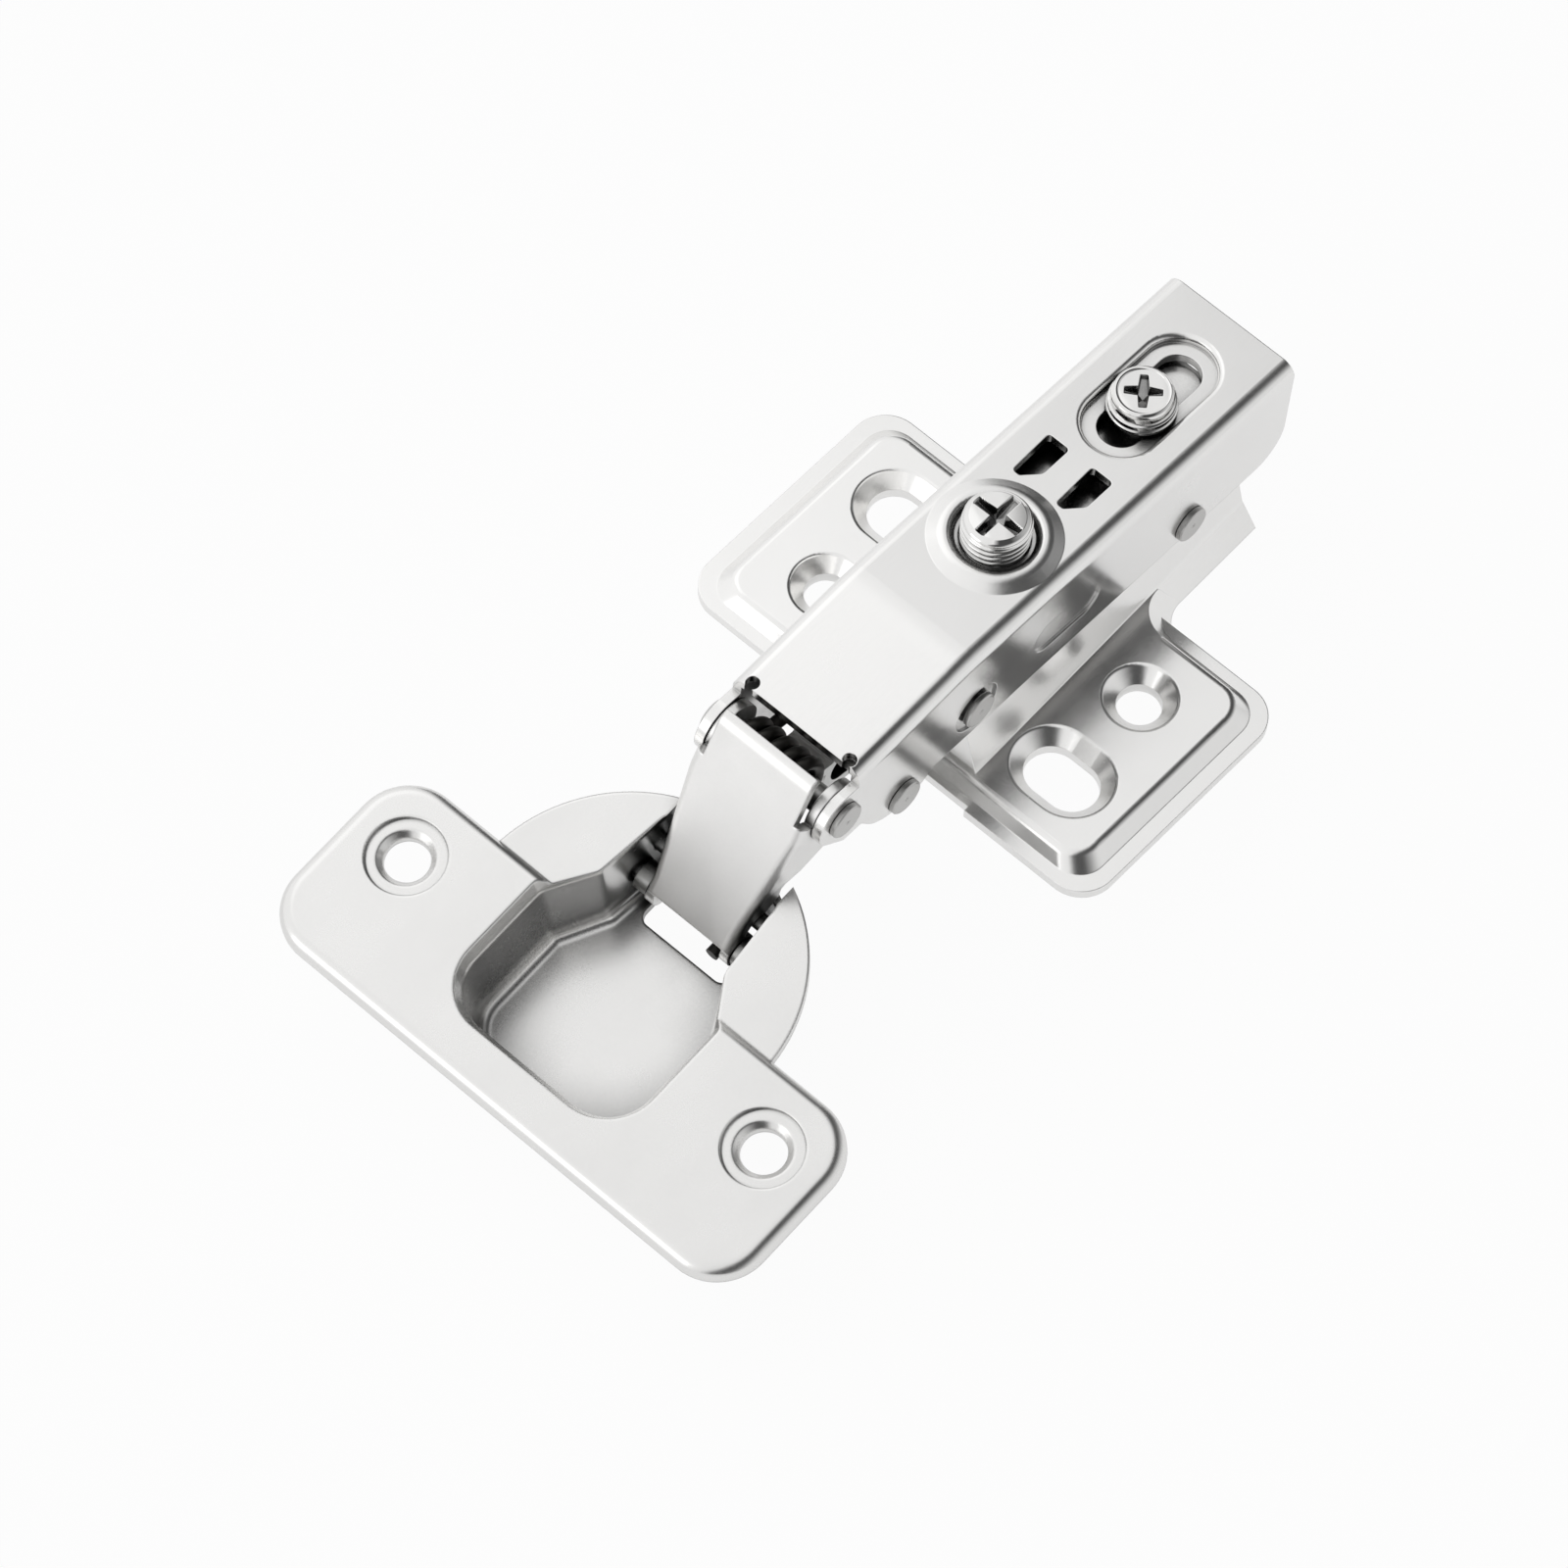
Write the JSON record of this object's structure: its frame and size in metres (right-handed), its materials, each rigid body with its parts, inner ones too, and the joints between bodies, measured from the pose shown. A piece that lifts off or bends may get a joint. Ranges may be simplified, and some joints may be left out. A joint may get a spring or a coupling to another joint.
{
  "type": "concealed cabinet hinge",
  "caption": "Concealed cabinet hinge with screw-on door cup, pivoting links, slide-on adjustable arm and wing base plate.",
  "frame": {"origin": "mounting face of the base plate, midway between its screw holes", "axes": "+X along the hinge pins, +Y along the arm from the cup to its rear, +Z away from the cabinet side"},
  "size_m": [0.063, 0.1112, 0.034],
  "materials": {
    "plate_nickel": "nickel plated pressed steel, satin",
    "arm_nickel": "nickel plated pressed steel, bright satin",
    "cup_nickel": "nickel plated deep-drawn steel, fine matt grain",
    "link_nickel": "nickel plated pressed steel, fine matt grain",
    "inner_link_steel": "nickel plated strip steel",
    "rivet_steel": "plated rivet steel, dull",
    "pin_steel": "drawn pin steel",
    "bush_steel": "turned steel",
    "spring_steel": "dark oil-tempered spring wire",
    "screw_nickel": "bright nickel plated",
    "washer_nickel": "bright nickel plated"
  },
  "bodies": {
    "base": {"base_plate": "plate_nickel"},
    "clamp": {"clamp_screw": "screw_nickel", "clamp_washer": "washer_nickel"},
    "carriage": {"rear_tie_rivet": "rivet_steel"},
    "arm_body": {"arm": "arm_nickel", "outer_arm_rivet": "rivet_steel", "inner_arm_rivet": "rivet_steel", "stop_rivet": "rivet_steel"},
    "side_adjuster": {"side_screw": "screw_nickel"},
    "outer_link_body": {"outer_link": "link_nickel", "closing_spring": "spring_steel"},
    "cup_body": {"cup": "cup_nickel", "outer_cup_pin": "pin_steel", "inner_cup_pin": "pin_steel", "cup_pin_bush_left": "bush_steel", "cup_pin_bush_right": "bush_steel"},
    "inner_link_body": {"inner_link": "inner_link_steel"}
  },
  "joints": [
    {"name": "clamp_turn", "type": "hinge", "parent": "base", "child": "clamp", "pos_m": [0, 0.0226, 0.018], "axis": [0, 0, 1], "range_deg": [-360, 360]},
    {"name": "depth_slide", "type": "slide", "parent": "base", "child": "carriage", "axis": [0, 1, 0], "range_m": [-0.0055, 0.0028]},
    {"name": "arm_tilt", "type": "hinge", "parent": "carriage", "child": "arm_body", "pos_m": [0, 0.0215, 0.00998], "axis": [1, 0, 0], "range_deg": [-1.4, 1.4]},
    {"name": "side_screw_turn", "type": "hinge", "parent": "arm_body", "child": "side_adjuster", "pos_m": [0, 0, 0.02303], "axis": [0, 0.0393, 0.9992], "range_deg": [-480, 480]},
    {"name": "outer_link_swing", "type": "hinge", "parent": "arm_body", "child": "outer_link_body", "pos_m": [0, -0.0317, 0.0167], "axis": [1, 0, 0], "range_deg": [0, 20.21]},
    {"name": "cup_fold", "type": "hinge", "parent": "outer_link_body", "child": "cup_body", "pos_m": [0, -0.04301, 0.00125], "axis": [-1, 0, 0], "range_deg": [0, 118.8], "deforming": ["closing_spring"]},
    {"name": "inner_link_swing", "type": "hinge", "parent": "cup_body", "child": "inner_link_body", "pos_m": [0, -0.04041, 0.00408], "axis": [1, 0, 0], "range_deg": [0, 131.03]}
  ],
  "couplings": [
    {"joint": "side_screw_turn", "follows": "arm_tilt", "ratio": 168.9},
    {"joint": "outer_link_swing", "follows": "cup_fold", "ratio": 0.17004},
    {"joint": "inner_link_swing", "follows": "cup_fold", "ratio": 1.1029}
  ]
}
